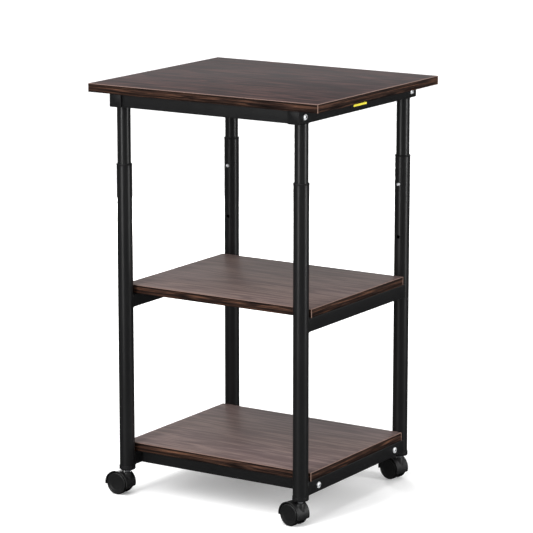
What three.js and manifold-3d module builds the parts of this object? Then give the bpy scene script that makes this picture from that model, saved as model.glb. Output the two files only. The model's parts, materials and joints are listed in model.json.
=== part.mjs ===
// Mobile printer stand: a wood-look top on a telescopic tube frame, with two shelves and four casters.
// Units are millimetres. +Z is up, +X is to the right of someone facing the stand, +Y is towards its back.
// The origin is on the floor, midway between the four legs.
import * as THREE from "three";
import { mergeVertices } from "three/addons/utils/BufferGeometryUtils.js";
import Module from "manifold-3d";

const wasm = await Module();
wasm.setup();

// ---- driving dimensions -------------------------------------------------------------------------

// Sides of the round sections: leg tubes and treads, turned fittings, and fasteners with their holes.
const TUBE_SIDES = 24;
const FITTING_SIDES = 16;
const FASTENER_SIDES = 12;
const BOLT_SOCKET_SIDES = 6;

// How far each cutting solid runs past the faces that it cuts through.
const OVERRUN = 1;
// Corners that are closer than this are one corner.
const MERGE_DISTANCE = 1e-4;

const LEG_HALF_SPAN_X = 214;
const LEG_HALF_SPAN_Y = 201;

const BOARD_THICKNESS = 18;
const TOP_WIDTH = 550;
const TOP_DEPTH = 480;
const TOP_HEIGHT = 872;
const MIDDLE_SHELF_HEIGHT = 449;
const BOTTOM_SHELF_HEIGHT = 110;
const SHELF_GAP_TO_LEG = 0.5;

const RAIL = 28;
const RAIL_WALL = 1.25;
const TOP_SIDE_RAIL_LENGTH = 462;
const RAIL_END_CAP = 2;
const TOP_CROSS_RAIL_Y = 211;
const BOTTOM_CROSS_RAIL_Y = 154;
const CROSS_RAIL_END_PLATE = 3;
const TAPPED_RADIUS = 3.2;

const OUTER_TUBE_RADIUS = 16;
const OUTER_TUBE_BORE = 14.5;
const OUTER_TUBE_TOP = 703;
const INNER_TUBE_RADIUS = 14;
const INNER_TUBE_BORE = 12.5;
const INNER_TUBE_BOTTOM = 602;
const COPE_CLEARANCE = 0.3;

const UPPER_HOLE_Z = 645;
const HEIGHT_STEP = 112;
const BUTTON_RADIUS = 3.5;
const BUTTON_PROUD = 4;
const BUTTON_DOME = { height: 2, shoulder: 0.8, rise: 1 / 3 };
const BUTTON_SHOULDER = { radius: 5, thickness: 1, clearance: 1.3 };
const BUTTON_LEAF = { halfWidth: 4, below: 7, above: 42, thickness: 1.4, overlap: 0.4 };
const INNER_HOLE_RADIUS = 3.8;
const OUTER_HOLE_RADIUS = 4;

const PLUG_FLANGE_RADIUS = 17;
const PLUG_FLANGE_BOTTOM = 55;
const PLUG_FLANGE_ROUNDING = [[2.4, 0], [0.5, 1.6], [0, 3.6]];
const PLUG_TOP = 92;
const PLUG_BARREL_CLEARANCE = 0.2;
const PLUG_LEAD_IN = { width: 1.2, height: 2 };
const PLUG_SOCKET_RADIUS = 5.6;

const BOLT_RADIUS = 3;
const BOLT_HOLE_RADIUS = 3.4;
const BOLT_HEAD_RADIUS = 6.5;
const BOLT_HEAD_RIM = 1.3;
const BOLT_HEAD_CROWN_RADIUS = 4.4;
const BOLT_HEAD_HEIGHT = 3.4;
const BOLT_LENGTH = 42;
const BOLT_SOCKET_RADIUS = 2.4;
const BOLT_SOCKET_DEPTH = 1.9;

const WHEEL_RADIUS = 24;
const WHEEL_INNER_FACE = 6.6;
const WHEEL_OUTER_FACE = 17.6;
const WHEEL_EDGE = 1;
const WHEEL_FACE_THICKNESS = 2.6;
const TREAD_BORE = 20.5;
const WHEEL_HUB_RADIUS = 5.5;
const HOOD_BORE = 25;
const HOOD_RADIUS = 27;
const HOOD_HALF_WIDTH = 17.6;
// Where the hood's arc starts and stops, as angles about the axle in radians; 0 points to the stem's side.
const HOOD_FROM = -0.32;
const HOOD_TO = Math.PI + 0.16;
const HOOD_ARC_SIDES = 14;
// The web between the wheels: half its thickness, its depth below the hood's outside and its lower edge.
const WEB = { half: 3, inset: 1, lowerEdge: [[-14, -8], [14, -10]] };
const CASTER_TRAIL = 18;
const NECK_RADIUS = 8;
const NECK_BOTTOM = 30;
const NECK_TOP = 49;
const NECK_WHEEL_CLEARANCE = 0.4;
const STEM_BOSS = { radius: 6.1, bottom: 20 };
const AXLE_BOSS = { radius: 5.5, half: 6.1 };
const AXLE_RADIUS = 2.5;
const AXLE_HALF_LENGTH = 14.6;
const AXLE_CLEARANCE = 0.1;
const AXLE_END_GAP = 0.4;
const STEM_RADIUS = 4;
const STEM_BOTTOM = 29;
const STEM_COLLAR = { radius: 5.5, above: 0.5, top: 53.5 };
const STEM_GRIP = { radius: 5.3, taper: 84, tipRadius: 3.6, top: 88 };

const LABEL = { length: 72, height: 13, thickness: 0.8 };

// How far each caster has swivelled about its leg, in degrees: 0 trails towards the stand's left side.
const CASTER_SWIVEL = { front_left: 2, front_right: -11, rear_right: -11, rear_left: 4 };

// ---- worked-out heights -------------------------------------------------------------------------

const TOP_UNDERSIDE = TOP_HEIGHT - BOARD_THICKNESS;
const TOP_RAIL_BOTTOM = TOP_UNDERSIDE - RAIL;
const BOTTOM_RAIL_TOP = BOTTOM_SHELF_HEIGHT - BOARD_THICKNESS;
const BOTTOM_RAIL_BOTTOM = BOTTOM_RAIL_TOP - RAIL;
const RAIL_FACE_X = LEG_HALF_SPAN_X + RAIL / 2;
const CROSS_RAIL_HALF = LEG_HALF_SPAN_X - RAIL / 2;
const SHELF_HALF_DEPTH = LEG_HALF_SPAN_Y - OUTER_TUBE_RADIUS - SHELF_GAP_TO_LEG;

const CORNERS = [
  { name: "front_left", sx: -1, sy: -1 },
  { name: "front_right", sx: 1, sy: -1 },
  { name: "rear_right", sx: 1, sy: 1 },
  { name: "rear_left", sx: -1, sy: 1 },
];
const SIDES = [
  { name: "left", sx: -1 },
  { name: "right", sx: 1 },
];

// ---- materials ----------------------------------------------------------------------------------

const finish = {
  powder_coat: { color: 0x2a2a2c, roughness: 0.5, metalness: 0.1 },
  laminate: { color: 0x5b463e, roughness: 0.55, metalness: 0 },
  zinc: { color: 0xc9ccd0, roughness: 0.3, metalness: 1 },
  spring_steel: { color: 0x9a9da1, roughness: 0.35, metalness: 1 },
  black_plastic: { color: 0x1b1b1d, roughness: 0.6, metalness: 0 },
  label_film: { color: 0x111111, roughness: 0.35, metalness: 0 },
};

// ---- solids: closed geometry in, closed geometry out --------------------------------------------

function toSolid(geometry) {
  const bare = geometry.clone();
  bare.deleteAttribute("normal");
  bare.deleteAttribute("uv");
  const merged = mergeVertices(bare, MERGE_DISTANCE);
  return new wasm.Manifold(
    new wasm.Mesh({
      numProp: 3,
      vertProperties: new Float32Array(merged.attributes.position.array),
      triVerts: new Uint32Array(merged.index.array),
    }),
  );
}

function toGeometry(solid) {
  const mesh = solid.getMesh();
  const geometry = new THREE.BufferGeometry();
  geometry.setAttribute("position", new THREE.BufferAttribute(mesh.vertProperties, 3));
  geometry.setIndex(new THREE.BufferAttribute(mesh.triVerts, 1));
  const flat = geometry.toNonIndexed();
  flat.computeVertexNormals();
  return flat;
}

// A box from its lowest and highest corner.
function block(low, high) {
  const size = high.map((v, i) => v - low[i]);
  const middle = high.map((v, i) => (v + low[i]) / 2);
  return new THREE.BoxGeometry(...size).translate(...middle);
}

// A cylinder of radius r along an axis, from a to b on that axis.
function rod(axis, r, a, b, sides) {
  const geometry = new THREE.CylinderGeometry(r, r, b - a, sides);
  geometry.translate(0, (a + b) / 2, 0);
  if (axis === "x") geometry.rotateZ(-Math.PI / 2);
  if (axis === "z") geometry.rotateX(Math.PI / 2);
  return geometry;
}

// A profile of [radius, height] pairs turned about Z; turned from a closed outline when it has a bore.
function turned(profile, sides) {
  const points = profile.map(([r, z]) => new THREE.Vector2(r, z));
  return new THREE.LatheGeometry(points, sides).rotateX(Math.PI / 2);
}

function closedProfile(profile) {
  return [...profile, profile[0]];
}

// ---- the meshes ---------------------------------------------------------------------------------

const stand = new THREE.Group();

function add(name, geometry, slot, parent = stand) {
  const mesh = new THREE.Mesh(geometry, new THREE.MeshStandardMaterial(finish[slot]));
  mesh.name = name;
  parent.add(mesh);
  return mesh;
}

function addBoards() {
  const x = TOP_WIDTH / 2;
  const y = TOP_DEPTH / 2;
  add("top_board", block([-x, -y, TOP_UNDERSIDE], [x, y, TOP_HEIGHT]), "laminate");
  const shelves = { middle_shelf: MIDDLE_SHELF_HEIGHT, bottom_shelf: BOTTOM_SHELF_HEIGHT };
  for (const [name, top] of Object.entries(shelves)) {
    const low = [-RAIL_FACE_X, -SHELF_HALF_DEPTH, top - BOARD_THICKNESS];
    add(name, block(low, [RAIL_FACE_X, SHELF_HALF_DEPTH, top]), "laminate");
  }
}

// A square tube along Y, centred on x = 0 with its underside at z = 0. Its hollow is boreLength long.
function sideRail(length, boreLength) {
  const half = RAIL / 2;
  const inside = half - RAIL_WALL;
  const outer = toSolid(block([-half, -length / 2, 0], [half, length / 2, RAIL]));
  const reach = boreLength / 2;
  const bore = block([-inside, -reach, RAIL_WALL], [inside, reach, RAIL - RAIL_WALL]);
  return outer.subtract(toSolid(bore));
}

// Clearance holes through both walls of a side rail, one for each cross rail's bolt.
function drillForBolts(rail, crossRailY) {
  const reach = RAIL;
  for (const y of [-crossRailY, crossRailY]) {
    const drill = rod("x", BOLT_HOLE_RADIUS, -reach, reach, FASTENER_SIDES).translate(0, y, RAIL / 2);
    rail = rail.subtract(toSolid(drill));
  }
  return rail;
}

// A side rail with its ends cut to the curve of the legs that it is welded between.
function copedRail() {
  const cutter = OUTER_TUBE_RADIUS + COPE_CLEARANCE;
  const length = 2 * LEG_HALF_SPAN_Y - OUTER_TUBE_RADIUS;
  let rail = sideRail(length, length + 2 * OVERRUN);
  for (const y of [-LEG_HALF_SPAN_Y, LEG_HALF_SPAN_Y]) {
    const leg = rod("z", cutter, -OVERRUN, RAIL + OVERRUN, TUBE_SIDES).translate(0, y, 0);
    rail = rail.subtract(toSolid(leg));
  }
  return rail;
}

function addSideRails() {
  const capped = sideRail(TOP_SIDE_RAIL_LENGTH, TOP_SIDE_RAIL_LENGTH - 2 * RAIL_END_CAP);
  const top = toGeometry(drillForBolts(capped, TOP_CROSS_RAIL_Y));
  const middle = toGeometry(copedRail());
  const bottom = toGeometry(drillForBolts(copedRail(), BOTTOM_CROSS_RAIL_Y));
  for (const { name, sx } of SIDES) {
    const x = sx * LEG_HALF_SPAN_X;
    const middleZ = MIDDLE_SHELF_HEIGHT - BOARD_THICKNESS - RAIL;
    add(`top_side_rail_${name}`, top, "powder_coat").position.set(x, 0, TOP_RAIL_BOTTOM);
    add(`middle_side_rail_${name}`, middle, "powder_coat").position.set(x, 0, middleZ);
    add(`bottom_side_rail_${name}`, bottom, "powder_coat").position.set(x, 0, BOTTOM_RAIL_BOTTOM);
  }
}

// A square tube along X with an end plate at each end, tapped for its bolt.
function crossRail() {
  const half = RAIL / 2;
  const inside = half - RAIL_WALL;
  const end = CROSS_RAIL_HALF;
  const reach = end - CROSS_RAIL_END_PLATE;
  const outer = toSolid(block([-end, -half, 0], [end, half, RAIL]));
  const bore = toSolid(block([-reach, -inside, RAIL_WALL], [reach, inside, RAIL - RAIL_WALL]));
  const tapped = rod("x", TAPPED_RADIUS, -end - OVERRUN, end + OVERRUN, FASTENER_SIDES);
  return outer.subtract(bore).subtract(toSolid(tapped.translate(0, 0, half)));
}

function addCrossRails() {
  const rail = toGeometry(crossRail());
  const places = [
    ["top_front_rail", -TOP_CROSS_RAIL_Y, TOP_RAIL_BOTTOM],
    ["top_rear_rail", TOP_CROSS_RAIL_Y, TOP_RAIL_BOTTOM],
    ["bottom_front_rail", -BOTTOM_CROSS_RAIL_Y, BOTTOM_RAIL_BOTTOM],
    ["bottom_rear_rail", BOTTOM_CROSS_RAIL_Y, BOTTOM_RAIL_BOTTOM],
  ];
  for (const [name, y, z] of places) add(name, rail, "powder_coat").position.set(0, y, z);
}

// A round tube about Z with holes in the wall that faces -Y, at the given heights.
function legTube(radius, bore, bottom, top, holeRadius, holes) {
  const wall = [[bore, bottom], [radius, bottom], [radius, top], [bore, top]];
  let tube = toSolid(turned(closedProfile(wall), TUBE_SIDES));
  for (const z of holes) {
    const drill = rod("y", holeRadius, -radius - OVERRUN, -bore / 2, FASTENER_SIDES).translate(0, 0, z);
    tube = tube.subtract(toSolid(drill));
  }
  return toGeometry(tube);
}

// A spring button: a domed stud, the shoulder that stops it behind the wall and the leaf that pushes it out.
// The stud points to -Y.
function lockButton() {
  const { radius, thickness, clearance } = BUTTON_SHOULDER;
  const shoulder = INNER_TUBE_BORE - clearance;
  const tip = OUTER_TUBE_RADIUS + BUTTON_PROUD;
  const r = BUTTON_RADIUS;
  const profile = [
    [0, shoulder - thickness],
    [radius, shoulder - thickness],
    [radius, shoulder],
    [r, shoulder],
    [r, tip - BUTTON_DOME.height],
    [r * BUTTON_DOME.shoulder, tip - BUTTON_DOME.height * BUTTON_DOME.rise],
    [0, tip],
  ];
  const stud = turned(profile, FASTENER_SIDES).rotateX(Math.PI / 2);
  const { halfWidth, below, above, overlap } = BUTTON_LEAF;
  const front = overlap - shoulder;
  const back = front + BUTTON_LEAF.thickness;
  const leaf = block([-halfWidth, front, -below], [halfWidth, back, above]);
  return toGeometry(toSolid(stud).add(toSolid(leaf)));
}

function addLegs() {
  const holes = [UPPER_HOLE_Z, UPPER_HOLE_Z - HEIGHT_STEP];
  const tubeBottom = BOTTOM_RAIL_BOTTOM;
  const outer = legTube(
    OUTER_TUBE_RADIUS, OUTER_TUBE_BORE, tubeBottom, OUTER_TUBE_TOP, OUTER_HOLE_RADIUS, holes,
  );
  const innerTop = TOP_RAIL_BOTTOM;
  const inner = legTube(
    INNER_TUBE_RADIUS, INNER_TUBE_BORE, INNER_TUBE_BOTTOM, innerTop, INNER_HOLE_RADIUS, [UPPER_HOLE_Z],
  );
  const button = lockButton();
  for (const { name, sx, sy } of CORNERS) {
    // The holes of all four legs face the middle of the stand, so the front legs are turned half round.
    const leg = new THREE.Group();
    leg.position.set(sx * LEG_HALF_SPAN_X, sy * LEG_HALF_SPAN_Y, 0);
    leg.rotation.z = sy < 0 ? Math.PI : 0;
    stand.add(leg);
    add(`outer_leg_tube_${name}`, outer, "powder_coat", leg);
    add(`inner_leg_tube_${name}`, inner, "powder_coat", leg);
    add(`lock_button_${name}`, button, "spring_steel", leg).position.set(0, 0, UPPER_HOLE_Z);
  }
}

// The plastic plug in the foot of a leg: a flange under the tube, a barrel inside it and a stem socket.
function legPlug() {
  const flange = PLUG_FLANGE_RADIUS;
  const barrel = OUTER_TUBE_BORE - PLUG_BARREL_CLEARANCE;
  const bottom = PLUG_FLANGE_BOTTOM;
  const rounding = PLUG_FLANGE_ROUNDING.map(([inset, rise]) => [flange - inset, bottom + rise]);
  return turned(
    closedProfile([
      [PLUG_SOCKET_RADIUS, bottom],
      ...rounding,
      [flange, BOTTOM_RAIL_BOTTOM],
      [barrel, BOTTOM_RAIL_BOTTOM],
      [barrel, PLUG_TOP - PLUG_LEAD_IN.height],
      [barrel - PLUG_LEAD_IN.width, PLUG_TOP],
      [PLUG_SOCKET_RADIUS, PLUG_TOP],
    ]),
    FITTING_SIDES,
  );
}

// The caster's steel stem: a journal that the housing turns on, a collar, and a grip end in the plug.
function casterStem() {
  const collarBottom = NECK_TOP + STEM_COLLAR.above;
  return turned(
    [
      [0, STEM_BOTTOM],
      [STEM_RADIUS, STEM_BOTTOM],
      [STEM_RADIUS, collarBottom],
      [STEM_COLLAR.radius, collarBottom],
      [STEM_COLLAR.radius, STEM_COLLAR.top],
      [STEM_GRIP.radius, STEM_COLLAR.top],
      [STEM_GRIP.radius, STEM_GRIP.taper],
      [STEM_GRIP.tipRadius, STEM_GRIP.top],
      [0, STEM_GRIP.top],
    ],
    FITTING_SIDES,
  );
}

// A flat shape about the axle, thickened to both sides of the caster's middle.
function acrossAxle(shape, half) {
  const solid = new THREE.ExtrudeGeometry(shape, {
    depth: 2 * half, bevelEnabled: false, curveSegments: HOOD_ARC_SIDES,
  });
  solid.translate(0, 0, -half).rotateX(Math.PI / 2);
  return toSolid(solid.translate(-CASTER_TRAIL, 0, WHEEL_RADIUS));
}

// The caster's moulded housing: hood, middle web and neck, with bores for the stem and the axle.
// Its swivel axis is x = 0, and the wheels' axis is at x = -CASTER_TRAIL.
function casterHousing() {
  const axleX = -CASTER_TRAIL;
  const axleZ = WHEEL_RADIUS;
  const hood = new THREE.Shape();
  hood.absarc(0, 0, HOOD_RADIUS, HOOD_FROM, HOOD_TO, false);
  hood.absarc(0, 0, HOOD_BORE, HOOD_TO, HOOD_FROM, true);
  const web = new THREE.Shape();
  web.absarc(0, 0, HOOD_RADIUS - WEB.inset, HOOD_FROM, HOOD_TO, false);
  for (const [x, y] of WEB.lowerEdge) web.lineTo(x, y);

  const boss = rod("z", STEM_BOSS.radius, STEM_BOSS.bottom, NECK_TOP, FITTING_SIDES);
  const neck = toSolid(rod("z", NECK_RADIUS, NECK_BOTTOM, NECK_TOP, FITTING_SIDES));
  const spaceRadius = HOOD_BORE + NECK_WHEEL_CLEARANCE;
  const wheelSpace = rod("y", spaceRadius, -HOOD_RADIUS, HOOD_RADIUS, TUBE_SIDES);
  const axleBoss = rod("y", AXLE_BOSS.radius, -AXLE_BOSS.half, AXLE_BOSS.half, FITTING_SIDES);
  const stemHole = STEM_RADIUS + AXLE_CLEARANCE;
  const stemBore = rod("z", stemHole, STEM_BOTTOM - OVERRUN, NECK_TOP + OVERRUN, FITTING_SIDES);
  const axleReach = AXLE_BOSS.half + OVERRUN;
  const axleBore = rod("y", AXLE_RADIUS + AXLE_CLEARANCE, -axleReach, axleReach, FITTING_SIDES);
  return toGeometry(
    acrossAxle(hood, HOOD_HALF_WIDTH)
      .add(acrossAxle(web, WEB.half))
      .add(neck.subtract(toSolid(wheelSpace.translate(axleX, 0, axleZ))))
      .add(toSolid(boss))
      .add(toSolid(axleBoss.translate(axleX, 0, axleZ)))
      .subtract(toSolid(stemBore))
      .subtract(toSolid(axleBore.translate(axleX, 0, axleZ))),
  );
}

// One wheel: a tread ring with a closed outer face, and a hub with a blind bore, turned about its axle.
// The tread has flats, and they are as far from the axle as the real wheel's round tread.
function casterWheel() {
  const tread = WHEEL_RADIUS / Math.cos(Math.PI / TUBE_SIDES);
  const depth = WHEEL_OUTER_FACE - WHEEL_INNER_FACE;
  const face = depth - WHEEL_FACE_THICKNESS;
  const cup = turned(
    [
      [0, face],
      [TREAD_BORE, face],
      [TREAD_BORE, 0],
      [tread, 0],
      [tread, depth - WHEEL_EDGE],
      [tread - WHEEL_EDGE, depth],
      [0, depth],
    ],
    TUBE_SIDES,
  );
  const hub = toSolid(rod("z", WHEEL_HUB_RADIUS, 0, face + OVERRUN, FITTING_SIDES));
  const bore = toSolid(rod("z", AXLE_RADIUS + AXLE_CLEARANCE, -OVERRUN, face + AXLE_END_GAP, FITTING_SIDES));
  const wheel = toGeometry(toSolid(cup.rotateZ(Math.PI / TUBE_SIDES)).add(hub).subtract(bore));
  return wheel.rotateX(-Math.PI / 2);
}

function addCasters() {
  const plug = legPlug();
  const stem = casterStem();
  const housing = casterHousing();
  const wheel = casterWheel();
  const axle = rod("y", AXLE_RADIUS, -AXLE_HALF_LENGTH, AXLE_HALF_LENGTH, FITTING_SIDES);
  for (const { name, sx, sy } of CORNERS) {
    const foot = new THREE.Group();
    foot.position.set(sx * LEG_HALF_SPAN_X, sy * LEG_HALF_SPAN_Y, 0);
    stand.add(foot);
    add(`leg_plug_${name}`, plug, "black_plastic", foot);
    add(`caster_stem_${name}`, stem, "zinc", foot);

    const caster = new THREE.Group();
    caster.rotation.z = THREE.MathUtils.degToRad(CASTER_SWIVEL[name]);
    foot.add(caster);
    add(`caster_housing_${name}`, housing, "black_plastic", caster);
    add(`caster_axle_${name}`, axle, "zinc", caster).position.set(-CASTER_TRAIL, 0, WHEEL_RADIUS);
    for (const side of [-1, 1]) {
      const key = side < 0 ? "a" : "b";
      const mesh = add(`caster_wheel_${name}_${key}`, wheel, "black_plastic", caster);
      mesh.position.set(-CASTER_TRAIL, side * WHEEL_INNER_FACE, WHEEL_RADIUS);
      mesh.rotation.z = side < 0 ? Math.PI : 0;
    }
  }
}

// A pan-head bolt along X with its head at x = 0 and its shank towards -X.
function railBolt() {
  const r = BOLT_RADIUS;
  const head = BOLT_HEAD_RADIUS;
  const profile = [
    [0, -BOLT_LENGTH],
    [r, -BOLT_LENGTH],
    [r, 0],
    [head, 0],
    [head, BOLT_HEAD_RIM],
    [BOLT_HEAD_CROWN_RADIUS, BOLT_HEAD_HEIGHT],
    [0, BOLT_HEAD_HEIGHT],
  ];
  const socketFloor = BOLT_HEAD_HEIGHT - BOLT_SOCKET_DEPTH;
  const socket = rod("z", BOLT_SOCKET_RADIUS, socketFloor, BOLT_HEAD_HEIGHT + OVERRUN, BOLT_SOCKET_SIDES);
  const bolt = toSolid(turned(profile, FASTENER_SIDES)).subtract(toSolid(socket));
  return toGeometry(bolt).rotateY(Math.PI / 2);
}

function addBolts() {
  const bolt = railBolt();
  const rows = [
    { row: "top", y: TOP_CROSS_RAIL_Y, z: TOP_RAIL_BOTTOM + RAIL / 2 },
    { row: "bottom", y: BOTTOM_CROSS_RAIL_Y, z: BOTTOM_RAIL_BOTTOM + RAIL / 2 },
  ];
  for (const { row, y, z } of rows) {
    for (const { name, sx, sy } of CORNERS) {
      const mesh = add(`${row}_rail_bolt_${name}`, bolt, "zinc");
      mesh.position.set(sx * RAIL_FACE_X, sy * y, z);
      mesh.rotation.z = sx < 0 ? Math.PI : 0;
    }
  }
}

function addLabel() {
  const { length, height, thickness } = LABEL;
  const z = TOP_RAIL_BOTTOM + RAIL / 2;
  const low = [RAIL_FACE_X, -length / 2, z - height / 2];
  const high = [RAIL_FACE_X + thickness, length / 2, z + height / 2];
  add("label_plate", block(low, high), "label_film");
}

addBoards();
addSideRails();
addCrossRails();
addLegs();
addCasters();
addBolts();
addLabel();

export default stand;
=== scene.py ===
"""Mobile printer stand: its looks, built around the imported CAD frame. Metres, +Z up, floor at z = 0."""
import json
import math

import bmesh
import bpy
from mathutils import Matrix, Vector

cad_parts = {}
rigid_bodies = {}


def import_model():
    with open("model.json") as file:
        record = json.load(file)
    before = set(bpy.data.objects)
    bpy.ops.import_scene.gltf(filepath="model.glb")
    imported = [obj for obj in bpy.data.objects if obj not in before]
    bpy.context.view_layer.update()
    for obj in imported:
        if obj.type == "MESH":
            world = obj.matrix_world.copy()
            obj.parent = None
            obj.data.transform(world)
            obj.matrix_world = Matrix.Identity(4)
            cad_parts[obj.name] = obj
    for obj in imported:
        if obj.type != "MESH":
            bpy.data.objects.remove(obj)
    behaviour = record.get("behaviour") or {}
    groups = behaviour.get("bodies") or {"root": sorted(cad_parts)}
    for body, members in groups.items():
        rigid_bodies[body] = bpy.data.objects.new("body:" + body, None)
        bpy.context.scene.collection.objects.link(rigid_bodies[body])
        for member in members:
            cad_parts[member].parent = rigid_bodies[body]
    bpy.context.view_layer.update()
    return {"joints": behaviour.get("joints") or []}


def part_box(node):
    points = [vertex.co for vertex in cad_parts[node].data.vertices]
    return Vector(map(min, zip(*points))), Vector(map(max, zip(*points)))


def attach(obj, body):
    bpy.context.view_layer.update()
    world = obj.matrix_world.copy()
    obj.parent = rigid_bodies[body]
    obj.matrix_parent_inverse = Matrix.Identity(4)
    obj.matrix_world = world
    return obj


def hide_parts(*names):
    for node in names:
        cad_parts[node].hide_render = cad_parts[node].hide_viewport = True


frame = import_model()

MM = 0.001
MERGE_DISTANCE = 1e-7
CORNERS = ("front_left", "front_right", "rear_right", "rear_left")
SIDES = ("left", "right")
BOLTED_LEVELS = (("top", "upper_frame"), ("bottom", "lower_frame"))


# ---- where the frame is ----

def joint(name):
    return next(j for j in frame["joints"] if j["name"] == name)


def middle(node):
    low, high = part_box(node)
    return (low + high) / 2


def leg_axis(corner):
    at = middle(f"outer_leg_tube_{corner}")
    return at.x, at.y


def hole_side(corner):
    """+1 where a leg's lock holes face the back of the stand, -1 where they face its front."""
    return 1 if corner.startswith("front") else -1


# ---- mesh tools ----

# A corner flatter than this stays as it is, and a fillet takes at most this share of either side.
NEARLY_STRAIGHT = math.radians(175)
FILLET_SHARE = 0.49


def fillet(points, radius, steps=4):
    """A closed outline with its corners turned into arcs. A corner's third number is its own radius."""
    out = []
    count = len(points)
    for i, point in enumerate(points):
        here = Vector(point[:2])
        r = point[2] if len(point) > 2 else radius
        before = Vector(points[i - 1][:2]) - here
        after = Vector(points[(i + 1) % count][:2]) - here
        angle = before.angle(after)
        if r <= 0 or angle > NEARLY_STRAIGHT:
            out.append(here)
            continue
        reach = min(r / math.tan(angle / 2), FILLET_SHARE * before.length, FILLET_SHARE * after.length)
        r = reach * math.tan(angle / 2)
        bisector = (before.normalized() + after.normalized()).normalized()
        centre = here + bisector * (r / math.sin(angle / 2))
        first = here + before.normalized() * reach - centre
        turn = first.angle_signed(here + after.normalized() * reach - centre)
        for k in range(steps + 1):
            out.append(centre + Matrix.Rotation(-turn * k / steps, 2) @ first)
    return out


def rectangle(half_x, half_y):
    return [(-half_x, -half_y), (half_x, -half_y), (half_x, half_y), (-half_x, half_y)]


def skin(bm, rings, caps=False, closed_path=False):
    """Faces between rings of vertices. A ring of one vertex is a pole."""
    pairs = list(zip(rings, rings[1:]))
    if closed_path:
        pairs.append((rings[-1], rings[0]))
    for a, b in pairs:
        count = max(len(a), len(b))
        for i in range(count):
            j = (i + 1) % count
            corners = [a[i % len(a)], a[j % len(a)], b[j % len(b)], b[i % len(b)]]
            unique = list(dict.fromkeys(corners))
            if len(unique) > 2:
                bm.faces.new(unique)
    if caps:
        bm.faces.new(list(reversed(rings[0])))
        bm.faces.new(rings[-1])


def revolved(profile, segments=72, closed=False):
    """A profile of (radius, height) turned about Z. A closed profile is an outline clear of the axis."""
    bm = bmesh.new()
    rings = []
    for r, z in profile:
        if r < MERGE_DISTANCE:
            rings.append([bm.verts.new((0, 0, z))])
            continue
        angles = [2 * math.pi * k / segments for k in range(segments)]
        rings.append([bm.verts.new((r * math.cos(a), r * math.sin(a), z)) for a in angles])
    skin(bm, rings, closed_path=closed)
    return bm


def extruded(outline, stations):
    """An outline in X and Z, repeated at each Y in stations and capped."""
    bm = bmesh.new()
    rings = [[bm.verts.new((x, y, z)) for x, z in outline] for y in stations]
    skin(bm, rings, caps=True)
    return bm


def box(low, high, edge=0.0):
    """A block, with its edges rounded by the given width."""
    bm = bmesh.new()
    bmesh.ops.create_cube(bm, size=1)
    size = Vector(high) - Vector(low)
    at = (Vector(high) + Vector(low)) / 2
    bmesh.ops.transform(bm, matrix=Matrix.Translation(at) @ Matrix.Diagonal((*size, 1)), verts=bm.verts)
    if edge:
        bmesh.ops.bevel(bm, geom=bm.edges[:], offset=edge, segments=2, affect="EDGES", profile=0.5)
    return bm


# A weld bead: its ends' thickness beside the rest, and how fast its ripple runs from point to point.
BEAD_END = 0.45
BEAD_RIPPLE_STEP = 1.9


def swept(path, radius, sides, ripple):
    """A round bead along a list of points, with narrowed ends and an uneven thickness along it."""
    bm = bmesh.new()
    rings = []
    count = len(path)
    for i, point in enumerate(path):
        after = path[i + 1] if i + 1 < count else point
        before = path[i - 1] if i else point
        along = (after - before).normalized()
        side = along.orthogonal() if not rings else (last - along * last.dot(along))
        side.normalize()
        last = side
        up = along.cross(side)
        r = radius * (1 + ripple * math.sin(i * BEAD_RIPPLE_STEP))
        if i in (0, count - 1):
            r *= BEAD_END
        turns = [2 * math.pi * k / sides for k in range(sides)]
        rings.append([bm.verts.new(point + (side * math.cos(t) + up * math.sin(t)) * r) for t in turns])
    skin(bm, rings, caps=True)
    return bm


def moved(bm, matrix):
    bmesh.ops.transform(bm, matrix=matrix, verts=bm.verts)
    return bm


def to_object(name, bm):
    bmesh.ops.remove_doubles(bm, verts=bm.verts, dist=MERGE_DISTANCE)
    bmesh.ops.recalc_face_normals(bm, faces=bm.faces)
    mesh = bpy.data.meshes.new(name)
    bm.to_mesh(mesh)
    bm.free()
    obj = bpy.data.objects.new(name, mesh)
    bpy.context.scene.collection.objects.link(obj)
    return obj


def carved(bm, cutters, operation="DIFFERENCE"):
    """bm with closed cutters taken away from it or added to it, as a new bmesh."""
    for each in (bm, *cutters):
        bmesh.ops.triangulate(each, faces=[f for f in each.faces if len(f.verts) > 4])
    base = to_object("carve_base", bm)
    tools = [to_object("carve_tool", c) for c in cutters]
    for tool in tools:
        change = base.modifiers.new("cut", "BOOLEAN")
        change.operation = operation
        change.solver = "EXACT"
        change.object = tool
    bpy.context.view_layer.update()
    graph = bpy.context.evaluated_depsgraph_get()
    mesh = bpy.data.meshes.new_from_object(base.evaluated_get(graph))
    out = bmesh.new()
    out.from_mesh(mesh)
    for obj in (base, *tools):
        data = obj.data
        bpy.data.objects.remove(obj)
        bpy.data.meshes.remove(data)
    bpy.data.meshes.remove(mesh)
    return out


SOFTEN_ABOVE = math.radians(40)


def piece(name, bm, material, body, replaces=(), sharp=32, soften=None):
    """A finished piece of the stand: smooth except across real edges, riding on its CAD body."""
    obj = to_object(name, bm)
    obj.data.materials.append(material)
    if soften:
        bevel = obj.modifiers.new("edge", "BEVEL")
        bevel.width, bevel.segments = soften
        bevel.limit_method = "ANGLE"
        bevel.angle_limit = SOFTEN_ABOVE
    obj.data.shade_smooth()
    obj.data.set_sharp_from_angle(angle=math.radians(sharp))
    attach(obj, body)
    if replaces:
        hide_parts(*replaces)
    return obj


def along_z(x=0.0, y=0.0, z=0.0, turn=0.0):
    return Matrix.Translation((x, y, z)) @ Matrix.Rotation(turn, 4, "Z")


AXIS_X = Matrix.Rotation(math.pi / 2, 4, "Y")
AXIS_Y = Matrix.Rotation(-math.pi / 2, 4, "X")


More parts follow.
